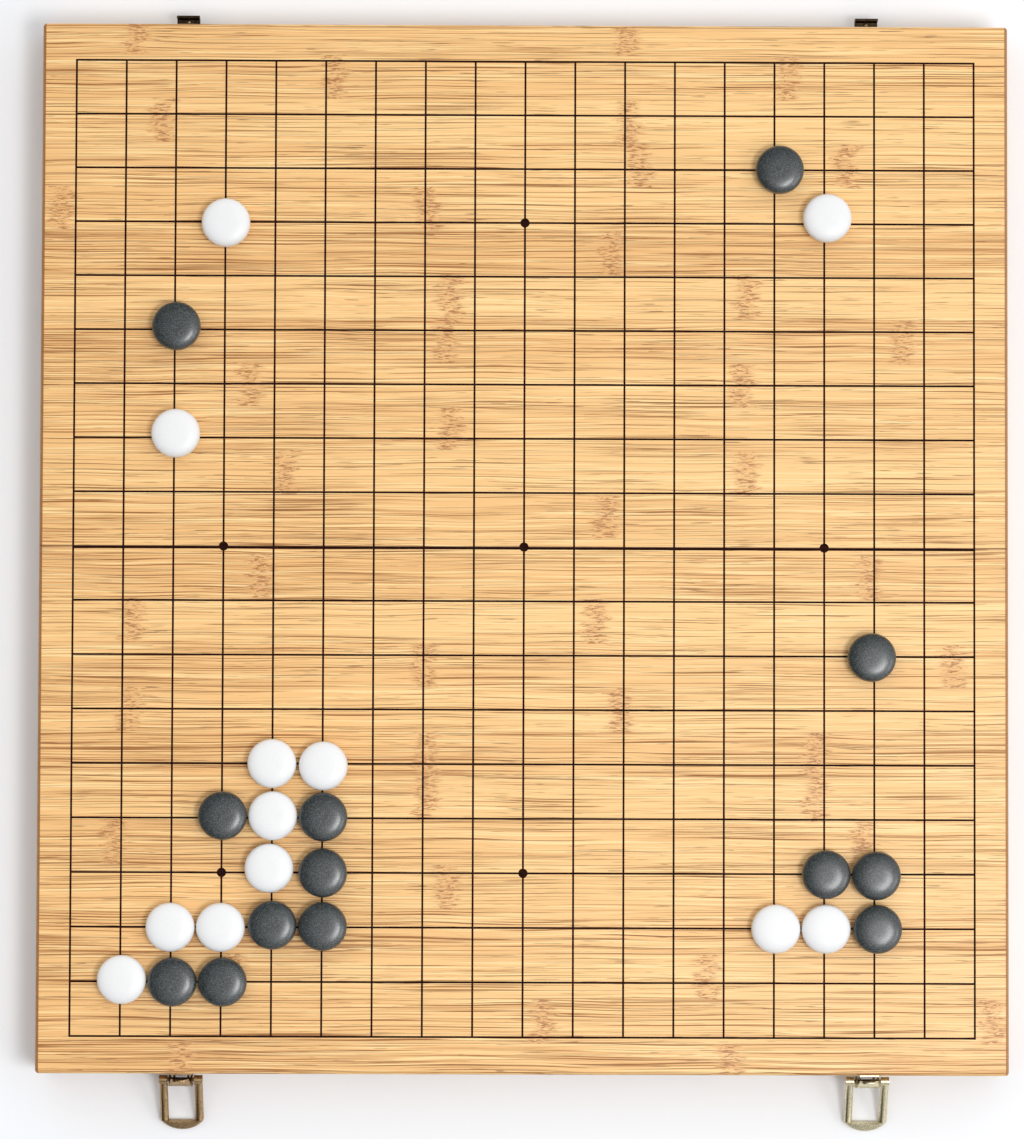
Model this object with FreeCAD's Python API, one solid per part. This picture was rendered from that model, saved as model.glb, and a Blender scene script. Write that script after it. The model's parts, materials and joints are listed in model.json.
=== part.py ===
import FreeCAD, Part
import math
import os

from FreeCAD import Vector

# A folding go board: two shallow bamboo cases hinged along the seam under the playing face,
# each with its own pull-out stone drawer, closed by two toggle latches and two hooks.
# Millimetres. +X to the players' right, +Y to the rear half, +Z up, playing face up.
# The origin is the centre of the whole outline, latches included, on the table.

# ---------------------------------------------------------------- driving dimensions

BOARD_WIDTH = 426.0       # both halves, along X
HALF_DEPTH = 231.0        # each half, from the seam to its outer wall
HALF_HEIGHT = 28.5        # each half, from rim to playing face
PAD_THICKNESS = 1.5       # felt pads, as thick as the hinge barrels stand below the rims
PANEL_THICKNESS = 6.0
WALL_THICKNESS = 9.0
BASE_THICKNESS = 3.0
BASE_ABOVE_RIM = 2.0      # the base panel sits this far up inside the walls
GROOVE_DEPTH = 4.0        # how far the base panel enters the walls
CORNER_ROUND = 1.6        # upright corners
FACE_ROUND = 1.5          # edges of the playing face
RIM_CHAMFER = 0.8
PAD_LENGTH = 22.0
PAD_WIDTH = 6.0
PAD_PLACES = {"rear": 192.0, "front": 166.0}   # from the middle; side by side when it is folded

DRAWER_LENGTH = 290.0     # outside face of the front to the outside face of the back
DRAWER_SIDE = 5.0
DRAWER_BACK = 5.0
DRAWER_BOTTOM = 2.0
DRAWER_BOTTOM_UP = 0.3    # the bottom panel clears the drawer's lower edges by this much
DRAWER_GROOVE = 2.0
MOUTH_WIDTH = 197.0       # opening in the side wall, centred on the half's depth
DRAWER_GAP = 0.3          # round the front, and under the drawer
DRAWER_TOP_GAP = 0.6
BODY_INSET = 6.2          # each drawer side stands this far in from the front's end
EAR_CLEARANCE = 0.6
NOTCH_RADIUS = 10.0       # finger notch in the drawer front
NOTCH_DEPTH = 8.0
GUIDE_HEIGHT = 5.5
GUIDE_GAP = 0.4
STOP_LENGTH = 10.0
STOP_HEIGHT = 10.0
DRAWER_TRAVEL = 200.0

HINGE_PLACES = (-130.0, 130.0)
HINGE_LENGTH = 38.0
HINGE_KNUCKLES = 3
KNUCKLE_GAP = 0.25
BARREL_RADIUS = 1.5
HINGE_PIN_RADIUS = 0.75
HINGE_PIN_PROUD = 0.4
LEAF_THICKNESS = 1.0
LEAF_DEPTH = 7.8
LEAF_STAND_OFF = 1.9      # leaf edge to seam, clear of the other leaf's barrel
BARREL_ROOM = 0.3         # round the barrel, in the wood
BARREL_END_ROOM = 1.3     # beyond each end of the barrel, in the wood
RUNNING_CLEARANCE = 0.05
SEAT_CLEARANCE = 0.02     # pins that stay put in their holes

HARDWARE_PLACES = {"left": -150.2, "right": 152.2}
PLATE_THICKNESS = 0.9
LATCH_PLATE = (2.0, 23.0)   # lower and upper edge of the latch's plate, up from the rim
LATCH_PLATE_CORNER = 1.2
EAR_RADIUS = 1.6
EAR_ROOT = 2.2            # the ears meet the plate this far above and below the pivot
EAR_THICKNESS = 1.0
EAR_SPREAD = 3.1          # from the middle of the latch to the middle of an ear
PIVOT_OUT, PIVOT_UP = 3.6, 8.0          # lever pivot, out from the wall and up from the rim
LOOP_PIN_OUT, LOOP_PIN_UP = 3.4, 12.8   # loop pivot, carried by the lever
LATCH_PIN_RADIUS = 0.8
LOOP_PIN_SHORT = 0.3      # the loop's pin ends this far inside the loop's flanks
LEVER_WIDTH = 10.6
LEVER_SHEET = 0.9
LEVER_FACE = 6.3          # outer face of the closed lever, out from the wall
LEVER_FOOT_UP = 0.5       # the sheet starts this far above the pivot
LEVER_SHOULDER = 15.0     # the flat face ends here, up from the rim
LEVER_BEND_RADIUS, LEVER_BEND_TURN = 9.3, 40.0   # then it bends in towards the wall
LEVER_CURL_RADIUS, LEVER_CURL_TURN = 2.6, 70.0   # and curls out again to the finger tip
CHEEK_RADIUS = 2.2        # round the lever's pivot
CHEEK_HEEL = 1.5
CHEEK_TURN = 25.0         # how far the cheeks follow the bend
CHEEK_BACK_UP = 13.5      # upper end of a cheek's back edge, up from the rim
BILL_START = 15.5         # seen from in front, the lever narrows from here up
BILL_HALF_WIDTH = 3.9     # to this half width
BILL_SHOULDER = 22.1      # and from here it ends in a round bill
BILL_END = 24.8
LOOP_OUTER_WIDTH = 19.1
LOOP_INNER_WIDTH = 11.7
LOOP_INNER_LENGTH = 22.2  # pin to the inside of the end bar
LOOP_OUTER_LENGTH = 26.4
LOOP_THICKNESS = 2.4
LOOP_FLANK = 0.8          # flat side of an arm, below its round top
LOOP_TOP_CHAMFER = 0.8
LOOP_UNDER_CHAMFER = 0.5
LOOP_EYE_RADIUS = 1.9
LOOP_CORNER = 3.0         # outer corner between an arm and the bowed end

HOOK_WIDTH = 10.2
HOOK_REACH = 6.6          # outer face of the lip, out from the wall
HOOK_SHEET = 1.3
HOOK_SHELF = 6.0          # underside of the shelf, up from the rim
HOOK_TIP = 10.8
HOOK_BEND = 1.8           # outer radius between shelf and lip
HOOK_PLATE = (1.5, 15.0)  # lower and upper edge of the hook's plate

STONE_DIAMETER = 21.4
STONE_THICKNESS = 8.8
STONE_SIDES = 12          # there are many stones, so each has flat facets
STONE_RINGS = ((0.0, 1.0), (0.66, 0.71), (1.0, 0.3))   # height and radius, as shares of the stone's own
STONE_LIFT = 0.1          # a stone clears the playing face by this much
LINE_SPACING_X = 22.0
LINE_SPACING_Y = 23.85
CENTRE_LINE = 9           # lines are counted 0 to 18 from the rear left corner

BEYOND = 1.0              # a cutting shape runs this far past what it cuts
NO_LENGTH = 1e-6

# Each stone is (column, row, nudge right, nudge to the rear): stones lie a little off their crossings.
STONES = {
    "white_stones_rear": ((3, 3, 0.5, -1.0), (15, 3, 1.0, 2.0), (2, 7, 1.0, 1.5)),
    "black_stones_rear": ((14, 2, 2.0, -0.5), (2, 5, 1.0, 1.0)),
    "white_stones_front": (
        (4, 13, 0.0, 0.0), (5, 13, 0.5, -1.0), (4, 14, 0.5, 1.0), (4, 15, -1.0, 2.0), (2, 16, 0.0, 0.0),
        (3, 16, 0.0, 0.0), (1, 17, 1.0, 1.0), (14, 16, 0.5, 0.0), (15, 16, 0.5, 0.0)),
    "black_stones_front": (
        (16, 11, -1.5, -0.5), (3, 14, 0.5, 1.0), (5, 14, 0.5, 0.5), (5, 15, 0.5, 0.0), (4, 16, 0.5, 1.0),
        (5, 16, 0.5, 0.5), (2, 17, 1.0, 0.0), (3, 17, 1.0, 0.0), (15, 15, 0.5, 0.0), (16, 15, 0.5, -0.5),
        (16, 16, 1.0, 0.0)),
}

# ---------------------------------------------------------------- places worked out from them

RIM = PAD_THICKNESS
FACE = RIM + HALF_HEIGHT
PANEL_UNDER = FACE - PANEL_THICKNESS
BASE_UNDER = RIM + BASE_ABOVE_RIM
BASE_TOP = BASE_UNDER + BASE_THICKNESS
HALF_WIDTH = BOARD_WIDTH / 2
INNER_X = HALF_WIDTH - WALL_THICKNESS
INNER_Y = HALF_DEPTH - WALL_THICKNESS
MOUTH = ((HALF_DEPTH - MOUTH_WIDTH) / 2, (HALF_DEPTH + MOUTH_WIDTH) / 2)
LOOP_TIP_OUT = LOOP_OUTER_LENGTH - LOOP_UNDER_CHAMFER
LOOP_TIP_UNDER = LOOP_THICKNESS / 2
LOOP_PIN_HEIGHT = RIM + LOOP_PIN_UP
# the loop hangs from its pin until the underside of its end bar rests on the table
LOOP_DROOP = (math.asin(LOOP_PIN_HEIGHT / math.hypot(LOOP_TIP_OUT, LOOP_TIP_UNDER))
              - math.atan2(LOOP_TIP_UNDER, LOOP_TIP_OUT))
LOOP_REACH = (LOOP_PIN_OUT + LOOP_OUTER_LENGTH * math.cos(LOOP_DROOP)
              + (LOOP_THICKNESS / 2 - LOOP_TOP_CHAMFER) * math.sin(LOOP_DROOP))
SEAM_Y = (LOOP_REACH - HOOK_REACH) / 2    # brings the origin to the middle of the whole outline

ALONG_X = Vector(1, 0, 0)
ALONG_Y = Vector(0, 1, 0)
UP = Vector(0, 0, 1)


# ---------------------------------------------------------------- small helpers

def block(x, y, z):
    """A box between pairs of bounds."""
    corner = Vector(x[0], y[0], z[0])
    return Part.makeBox(x[1] - x[0], y[1] - y[0], z[1] - z[0], corner)


def rod(x, y, z, radius):
    """A cylinder along X between a pair of bounds."""
    return Part.makeCylinder(radius, x[1] - x[0], Vector(x[0], y, z), ALONG_X)


def fused(shapes):
    """One solid from shapes that overlap or meet."""
    return shapes[0].multiFuse(shapes[1:]).removeSplitter()


def prism(points, z):
    """An upright prism over a polygon of (x, y) points."""
    corners = [Vector(px, py, z[0]) for px, py in points]
    face = Part.Face(Part.makePolygon(corners + corners[:1]))
    return face.extrude(UP * (z[1] - z[0]))


def profile_face(steps, x):
    """A face in the plane X = x. steps holds (y, z) points; a pair is the middle and the end of an arc."""
    def place(point):
        return Vector(x, point[0], point[1])

    edges = []
    here = place(steps[0])
    for step in steps[1:] + steps[:1]:
        if isinstance(step[0], tuple):
            there = place(step[1])
            edges.append(Part.Arc(here, place(step[0]), there).toShape())
        else:
            there = place(step)
            edges.append(Part.LineSegment(here, there).toShape())
        here = there
    return Part.Face(Part.Wire(edges))


def extruded(steps, x):
    """A profile in Y and Z, extruded along X between a pair of bounds."""
    return profile_face(steps, x[0]).extrude(ALONG_X * (x[1] - x[0]))


def arc_point(centre, radius, degrees):
    turn = math.radians(degrees)
    return (centre[0] + radius * math.cos(turn), centre[1] + radius * math.sin(turn))


def edges_where(shape, test):
    """The edges whose every vertex passes a test."""
    return [edge for edge in shape.Edges if all(test(v.Point) for v in edge.Vertexes)]


def near(a, b):
    return abs(a - b) < NO_LENGTH


# ---------------------------------------------------------------- one half of the case
# Both halves are the same joinery. It is made with the seam at Y = 0, the outer wall at +Y and the
# drawer mouth at -X, and the front half is this one turned half a turn about Z.

def rounded_outline():
    """The outside form of one half: rounded everywhere but along the seam."""
    form = block((-HALF_WIDTH, HALF_WIDTH), (0, HALF_DEPTH), (RIM, FACE))
    corners = edges_where(form, lambda p: near(p.y, HALF_DEPTH))
    uprights = [e for e in corners if near(e.BoundBox.ZLength, HALF_HEIGHT)]
    form = form.makeFillet(CORNER_ROUND, uprights)
    face_edges = edges_where(form, lambda p: near(p.z, FACE))
    form = form.makeFillet(FACE_ROUND, [e for e in face_edges if not near(e.CenterOfMass.y, 0)])
    rim_edges = edges_where(form, lambda p: near(p.z, RIM))
    return form.makeChamfer(RIM_CHAMFER, [e for e in rim_edges if not near(e.CenterOfMass.y, 0)])


def hinge_reliefs():
    """What the seam wall loses to the hinges: a round groove for each barrel and a bed for each leaf."""
    reliefs = []
    for place in HINGE_PLACES:
        half_length = HINGE_LENGTH / 2
        half_groove = half_length + BARREL_END_ROOM
        bed = (place - half_length, place + half_length)
        reliefs.append(rod((place - half_groove, place + half_groove), 0, RIM, BARREL_RADIUS + BARREL_ROOM))
        reliefs.append(block(bed, (0, LEAF_DEPTH), (RIM, RIM + LEAF_THICKNESS)))
    return reliefs


def case_walls(form):
    """Four mitred walls. The mouth wall is cut open above its sill for the drawer front."""
    low, high = (RIM, PANEL_UNDER)
    w, d, ix, iy, t = HALF_WIDTH, HALF_DEPTH, INNER_X, INNER_Y, WALL_THICKNESS
    seam = prism([(-w, 0), (w, 0), (ix, t), (-ix, t)], (low, high))
    outer = prism([(w, d), (-w, d), (-ix, iy), (ix, iy)], (low, high))
    mouth = prism([(-w, d), (-w, 0), (-ix, t), (-ix, iy)], (low, high))
    side = prism([(w, 0), (w, d), (ix, iy), (ix, t)], (low, high))
    groove = base_panel()
    walls = [wall.common(form).cut(groove) for wall in (seam, outer, mouth, side)]
    walls[0] = walls[0].cut(hinge_reliefs())
    walls[2] = walls[2].cut(block((-w - BEYOND, -ix + BEYOND), MOUTH, (BASE_TOP, high + BEYOND)))
    return dict(zip(("seam_wall", "outer_wall", "mouth_wall", "side_wall"), walls))


def base_panel():
    """The thin panel held in the walls' grooves, which closes the half towards its rim."""
    reach = INNER_X + GROOVE_DEPTH
    depth = (WALL_THICKNESS - GROOVE_DEPTH, INNER_Y + GROOVE_DEPTH)
    return block((-reach, reach), depth, (BASE_UNDER, BASE_TOP))


def playing_panel(form):
    """The playing face, which covers the walls and carries the rounded edge."""
    slab = block((-HALF_WIDTH, HALF_WIDTH), (0, HALF_DEPTH), (PANEL_UNDER, FACE))
    return form.common(slab)


def felt_pads(offset):
    """Two felt strips under the outer wall, near its ends."""
    middle = HALF_DEPTH - WALL_THICKNESS / 2
    y = (middle - PAD_WIDTH / 2, middle + PAD_WIDTH / 2)
    strips = [block((place - PAD_LENGTH / 2, place + PAD_LENGTH / 2), y, (0, PAD_THICKNESS))
              for place in (-offset, offset)]
    return Part.makeCompound(strips)


# ---------------------------------------------------------------- the stone drawer

FRONT_SPAN = (MOUTH[0] + DRAWER_GAP, MOUTH[1] - DRAWER_GAP)
BODY_SPAN = (FRONT_SPAN[0] + BODY_INSET, FRONT_SPAN[1] - BODY_INSET)
DRAWER_LOW = BASE_TOP + DRAWER_GAP
DRAWER_HIGH = PANEL_UNDER - DRAWER_TOP_GAP
BACK_X = (-HALF_WIDTH + DRAWER_LENGTH - DRAWER_BACK, -HALF_WIDTH + DRAWER_LENGTH)
GUIDE_TOP = BASE_TOP + GUIDE_HEIGHT


def drawer_bottom():
    """The thin bottom, held in grooves of the four drawer walls."""
    x = (-INNER_X - DRAWER_GROOVE, BACK_X[0] + DRAWER_GROOVE)
    y = (BODY_SPAN[0] + DRAWER_SIDE - DRAWER_GROOVE, BODY_SPAN[1] - DRAWER_SIDE + DRAWER_GROOVE)
    z = DRAWER_LOW + DRAWER_BOTTOM_UP
    return block(x, y, (z, z + DRAWER_BOTTOM))


def drawer_front():
    """The front fills the mouth of the case. A round notch in its top edge is the finger pull."""
    x = (-HALF_WIDTH, -INNER_X)
    board = block(x, FRONT_SPAN, (DRAWER_LOW, DRAWER_HIGH))
    middle = (FRONT_SPAN[0] + FRONT_SPAN[1]) / 2
    notch_middle = DRAWER_HIGH - NOTCH_DEPTH + NOTCH_RADIUS
    notch = rod((x[0] - BEYOND, x[1] + BEYOND), middle, notch_middle, NOTCH_RADIUS)
    return board.cut(notch).cut(drawer_bottom())


def drawer_sides():
    x = (-INNER_X, BACK_X[0])
    left = block(x, (BODY_SPAN[0], BODY_SPAN[0] + DRAWER_SIDE), (DRAWER_LOW, DRAWER_HIGH))
    right = block(x, (BODY_SPAN[1] - DRAWER_SIDE, BODY_SPAN[1]), (DRAWER_LOW, DRAWER_HIGH))
    return Part.makeCompound([side.cut(drawer_bottom()) for side in (left, right)])


def drawer_back():
    """The back has an ear at each end, above the guides, that the stops catch."""
    body = block(BACK_X, BODY_SPAN, (DRAWER_LOW, DRAWER_HIGH))
    ears = block(BACK_X, FRONT_SPAN, (GUIDE_TOP + EAR_CLEARANCE, DRAWER_HIGH))
    return fused([body, ears]).cut(drawer_bottom())


def guide_spans():
    """Y bounds of the two guide strips, one outside each drawer side."""
    return ((FRONT_SPAN[0], BODY_SPAN[0] - GUIDE_GAP), (BODY_SPAN[1] + GUIDE_GAP, FRONT_SPAN[1]))


def drawer_guides():
    x = (-INNER_X, BACK_X[1] + GUIDE_GAP)
    return Part.makeCompound([block(x, span, (BASE_TOP, GUIDE_TOP)) for span in guide_spans()])


def drawer_stops():
    """Blocks glued on the guides. The drawer's ears come up against them at full travel."""
    end = BACK_X[0] - DRAWER_TRAVEL
    x = (end - STOP_LENGTH, end)
    z = (GUIDE_TOP, GUIDE_TOP + STOP_HEIGHT)
    return Part.makeCompound([block(x, span, z) for span in guide_spans()])


def cross_wall():
    """The wall behind the drawer, which closes its bay and holds up the playing panel."""
    x0 = BACK_X[1] + GUIDE_GAP
    return block((x0, x0 + WALL_THICKNESS), (WALL_THICKNESS, INNER_Y), (BASE_TOP, PANEL_UNDER))


def half_case(end, turn):
    """Every wooden piece of one half and its pads, by node name."""
    form = rounded_outline()
    pieces = {
        "playing_panel": playing_panel(form),
        "base_panel": base_panel(),
        "cross_wall": cross_wall(),
        "felt_pads": felt_pads(PAD_PLACES[end]),
        "drawer_guides": drawer_guides(),
        "drawer_stops": drawer_stops(),
        "drawer_front": drawer_front(),
        "drawer_sides": drawer_sides(),
        "drawer_back": drawer_back(),
        "drawer_bottom": drawer_bottom(),
    }
    pieces.update(case_walls(form))
    for shape in pieces.values():
        shape.rotate(Vector(), UP, turn)
    return {end + "_" + name: shape for name, shape in pieces.items()}


# ---------------------------------------------------------------- the hinges under the seam

def hinge_leaf(place, side, own):
    """One leaf: a plate let into the seam wall, with the barrel knuckles that are its own."""
    start = place - HINGE_LENGTH / 2
    pitch = (HINGE_LENGTH + KNUCKLE_GAP) / HINGE_KNUCKLES
    z = (RIM, RIM + LEAF_THICKNESS)
    y = sorted((side * LEAF_STAND_OFF, side * LEAF_DEPTH))
    solids = [block((start, start + HINGE_LENGTH), y, z)]
    for number in own:
        x = (start + number * pitch, start + (number + 1) * pitch - KNUCKLE_GAP)
        neck = sorted((0, side * LEAF_STAND_OFF))
        solids.append(block(x, neck, z))
        solids.append(rod(x, 0, RIM, BARREL_RADIUS))
    span = (start - BEYOND, start + HINGE_LENGTH + BEYOND)
    bore = rod(span, 0, RIM, HINGE_PIN_RADIUS + RUNNING_CLEARANCE)
    return fused(solids).cut(bore)


def hinge_pin(place):
    half_length = HINGE_LENGTH / 2 + HINGE_PIN_PROUD
    return rod((place - half_length, place + half_length), 0, RIM, HINGE_PIN_RADIUS)


def hinges():
    return {
        "hinge_rear_leaves": Part.makeCompound([hinge_leaf(p, 1, (0, 2)) for p in HINGE_PLACES]),
        "hinge_front_leaves": Part.makeCompound([hinge_leaf(p, -1, (1,)) for p in HINGE_PLACES]),
        "hinge_pins": Part.makeCompound([hinge_pin(p) for p in HINGE_PLACES]),
    }


# ---------------------------------------------------------------- the toggle latches, on the front wall
# The profiles of latches and hooks are drawn as (out from the wall, up from the rim).

def on_wall(steps, side):
    """Turns an (out, up) profile into the (y, z) profile at the outer wall on that side, -1 or 1."""
    placed = []
    for step in steps:
        points = step if isinstance(step[0], tuple) else (step,)
        moved = tuple((side * (HALF_DEPTH + out), RIM + up) for out, up in points)
        placed.append(moved if len(moved) > 1 else moved[0])
    return placed


def pin_across(x, out, up, half_length, radius):
    return rod((x - half_length, x + half_length), -HALF_DEPTH - out, RIM + up, radius)


def latch_base(x):
    """A plate on the wall with two round ears that carry the lever's pivot pin."""
    half_plate = LEVER_WIDTH / 2
    low, high = LATCH_PLATE
    plate = block((x - half_plate, x + half_plate), (-HALF_DEPTH - PLATE_THICKNESS, -HALF_DEPTH),
                  (RIM + low, RIM + high))
    corners = [e for e in plate.Edges if near(e.BoundBox.YLength, PLATE_THICKNESS)]
    plate = plate.makeChamfer(LATCH_PLATE_CORNER, corners)
    centre = (PIVOT_OUT, PIVOT_UP)
    ear = [(PLATE_THICKNESS, PIVOT_UP - EAR_ROOT), arc_point(centre, EAR_RADIUS, -90),
           (arc_point(centre, EAR_RADIUS, 0), arc_point(centre, EAR_RADIUS, 90)),
           (PLATE_THICKNESS, PIVOT_UP + EAR_ROOT)]
    ears = []
    for middle in (x - EAR_SPREAD, x + EAR_SPREAD):
        span = (middle - EAR_THICKNESS / 2, middle + EAR_THICKNESS / 2)
        ears.append(extruded(on_wall(ear, -1), span))
    hole = pin_across(x, PIVOT_OUT, PIVOT_UP, half_plate, LATCH_PIN_RADIUS + SEAT_CLEARANCE)
    return fused([plate] + ears).cut(hole)


def lever_sheet_profile():
    """The bent sheet, as two arcs after the flat face: in towards the wall, then out to the finger tip."""
    bend_centre = (LEVER_FACE - LEVER_BEND_RADIUS, LEVER_SHOULDER)
    waist = arc_point(bend_centre, LEVER_BEND_RADIUS, LEVER_BEND_TURN)
    curl_centre = arc_point(waist, LEVER_CURL_RADIUS, LEVER_BEND_TURN)
    curl_start = 180 + LEVER_BEND_TURN
    curl_end = curl_start - LEVER_CURL_TURN
    curl_middle = (curl_start + curl_end) / 2
    inner_bend = LEVER_BEND_RADIUS - LEVER_SHEET
    inner_curl = LEVER_CURL_RADIUS + LEVER_SHEET
    tip_centre = arc_point(curl_centre, LEVER_CURL_RADIUS + LEVER_SHEET / 2, curl_end)
    foot = PIVOT_UP + LEVER_FOOT_UP
    return [
        (LEVER_FACE - LEVER_SHEET, foot), (LEVER_FACE, foot), (LEVER_FACE, LEVER_SHOULDER),
        (arc_point(bend_centre, LEVER_BEND_RADIUS, LEVER_BEND_TURN / 2), waist),
        (arc_point(curl_centre, LEVER_CURL_RADIUS, curl_middle),
         arc_point(curl_centre, LEVER_CURL_RADIUS, curl_end)),
        (arc_point(tip_centre, LEVER_SHEET / 2, curl_end - 90), arc_point(curl_centre, inner_curl, curl_end)),
        (arc_point(curl_centre, inner_curl, curl_middle), arc_point(curl_centre, inner_curl, curl_start)),
        (arc_point(bend_centre, inner_bend, LEVER_BEND_TURN / 2), (LEVER_FACE - LEVER_SHEET, LEVER_SHOULDER)),
    ]


def lever_cheek_profile():
    """A cheek: round at the pivot, flush with the flat face, and run out into the bend."""
    bend_centre = (LEVER_FACE - LEVER_BEND_RADIUS, LEVER_SHOULDER)
    sole = PIVOT_UP - CHEEK_RADIUS
    heel_centre = (LEVER_FACE - CHEEK_HEEL, sole + CHEEK_HEEL)
    back = PIVOT_OUT - CHEEK_RADIUS
    return [
        (LEVER_FACE - CHEEK_HEEL, sole),
        (arc_point(heel_centre, CHEEK_HEEL, -45), (LEVER_FACE, sole + CHEEK_HEEL)),
        (LEVER_FACE, LEVER_SHOULDER),
        (arc_point(bend_centre, LEVER_BEND_RADIUS, CHEEK_TURN / 2),
         arc_point(bend_centre, LEVER_BEND_RADIUS, CHEEK_TURN)),
        (back, CHEEK_BACK_UP), (back, PIVOT_UP),
        (arc_point((PIVOT_OUT, PIVOT_UP), CHEEK_RADIUS, 225), (PIVOT_OUT, sole)),
    ]


def lever_front_outline(x):
    """The lever seen from in front, narrowing to a round bill, as a prism to cut the lever with."""
    y = -HALF_DEPTH - LEVER_FACE - BEYOND
    half_width = LEVER_WIDTH / 2
    corners = [Vector(x + across, y, RIM + up) for across, up in (
        (BILL_HALF_WIDTH, BILL_SHOULDER), (half_width, BILL_START), (half_width, 0),
        (-half_width, 0), (-half_width, BILL_START), (-BILL_HALF_WIDTH, BILL_SHOULDER))]
    edges = [Part.LineSegment(a, b) for a, b in zip(corners, corners[1:])]
    edges.append(Part.Arc(corners[-1], Vector(x, y, RIM + BILL_END), corners[0]))
    outline = Part.Face(Part.Wire([edge.toShape() for edge in edges]))
    return outline.extrude(ALONG_Y * (LEVER_FACE + 2 * BEYOND))


def latch_lever(x):
    """The toggle lever: a bent sheet, and two cheeks that straddle the ears.
    The sheet stops above the pivot, so that it swings under the ears without meeting them."""
    half_width = LEVER_WIDTH / 2
    web = extruded(on_wall(lever_sheet_profile(), -1), (x - half_width, x + half_width))
    cheek_spans = [sorted((x + side * half_width, x + side * (half_width - LEVER_SHEET))) for side in (-1, 1)]
    cheeks = [extruded(on_wall(lever_cheek_profile(), -1), span) for span in cheek_spans]
    lever = fused([web] + cheeks).common(lever_front_outline(x))
    through = half_width + BEYOND
    holes = [pin_across(x, PIVOT_OUT, PIVOT_UP, through, LATCH_PIN_RADIUS + RUNNING_CLEARANCE),
             pin_across(x, LOOP_PIN_OUT, LOOP_PIN_UP, through, LATCH_PIN_RADIUS + SEAT_CLEARANCE)]
    return lever.cut(holes)


def loop_arm(middle):
    """One arm of the loop, lying along -Y: flat below, with a full round top."""
    half_width = (LOOP_OUTER_WIDTH - LOOP_INNER_WIDTH) / 4
    under, top = -LOOP_THICKNESS / 2, LOOP_THICKNESS / 2
    corners = [Vector(middle + side * half_width, 0, z)
               for side, z in ((-1, under), (-1, under + LOOP_FLANK), (1, under + LOOP_FLANK), (1, under))]
    edges = [
        Part.LineSegment(corners[0], corners[1]),
        Part.Arc(corners[1], Vector(middle, 0, top), corners[2]),
        Part.LineSegment(corners[2], corners[3]),
        Part.LineSegment(corners[3], corners[0]),
    ]
    section = Part.Face(Part.Wire([edge.toShape() for edge in edges]))
    return section.extrude(ALONG_Y * -LOOP_OUTER_LENGTH)


def loop_end_bar():
    """The bar that joins the arms, before the loop's outline trims it."""
    outer, inner = LOOP_OUTER_WIDTH / 2, LOOP_INNER_WIDTH / 2
    half = LOOP_THICKNESS / 2
    bar = block((-outer, outer), (-LOOP_OUTER_LENGTH, LOOP_FLANK - LOOP_INNER_LENGTH), (-half, half))
    return bar.cut(block((-inner, inner), (-LOOP_INNER_LENGTH, 0), (-half, half)))


def loop_outline():
    """All that lies inside the loop's outer edge: straight flanks, round corners, a bowed end and eased edges."""
    outer = LOOP_OUTER_WIDTH / 2
    bow_start = LOOP_INNER_LENGTH - LOOP_FLANK
    under, top = -LOOP_THICKNESS / 2, LOOP_THICKNESS / 2
    left, right = Vector(-outer, -bow_start, under), Vector(outer, -bow_start, under)
    back_left, back_right = Vector(-outer, 0, under), Vector(outer, 0, under)
    edges = [Part.LineSegment(back_left, left), Part.Arc(left, Vector(0, -LOOP_OUTER_LENGTH, under), right),
             Part.LineSegment(right, back_right), Part.LineSegment(back_right, back_left)]
    form = Part.Face(Part.Wire([edge.toShape() for edge in edges])).extrude(UP * LOOP_THICKNESS)
    corners = edges_where(form, lambda p: near(p.y, -bow_start))
    form = form.makeFillet(LOOP_CORNER, [e for e in corners if near(e.BoundBox.ZLength, LOOP_THICKNESS)])
    for height, ease in ((top, LOOP_TOP_CHAMFER), (under, LOOP_UNDER_CHAMFER)):
        level = edges_where(form, lambda p: near(p.z, height))
        form = form.makeChamfer(ease, [e for e in level if not near(e.BoundBox.YLength, 0)])
    return form


def latch_loop(x):
    """A cast stirrup: half-round arms with eyes for the pin, and a crescent end. It hangs to the table."""
    outer, inner = LOOP_OUTER_WIDTH / 2, LOOP_INNER_WIDTH / 2
    arms = [loop_arm(side * (outer + inner) / 2) for side in (-1, 1)]
    eyes = [rod(sorted((side * inner, side * outer)), 0, 0, LOOP_EYE_RADIUS) for side in (-1, 1)]
    hole = rod((-outer - BEYOND, outer + BEYOND), 0, 0, LATCH_PIN_RADIUS + RUNNING_CLEARANCE)
    stirrup = fused(arms + [loop_end_bar()]).common(loop_outline())
    loop = fused([stirrup] + eyes).cut(hole)
    loop.rotate(Vector(), ALONG_X, math.degrees(LOOP_DROOP))
    loop.translate(Vector(x, -HALF_DEPTH - LOOP_PIN_OUT, LOOP_PIN_HEIGHT))
    return loop


def latch(side, x):
    """Every piece of one toggle latch, by node name."""
    lever_half = LEVER_WIDTH / 2
    loop_half = LOOP_OUTER_WIDTH / 2 - LOOP_PIN_SHORT
    return {
        side + "_latch_base": latch_base(x),
        side + "_latch_lever": latch_lever(x),
        side + "_latch_loop": latch_loop(x),
        side + "_lever_pin": pin_across(x, PIVOT_OUT, PIVOT_UP, lever_half, LATCH_PIN_RADIUS),
        side + "_loop_pin": pin_across(x, LOOP_PIN_OUT, LOOP_PIN_UP, loop_half, LATCH_PIN_RADIUS),
    }


# ---------------------------------------------------------------- the hooks, on the rear wall

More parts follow.
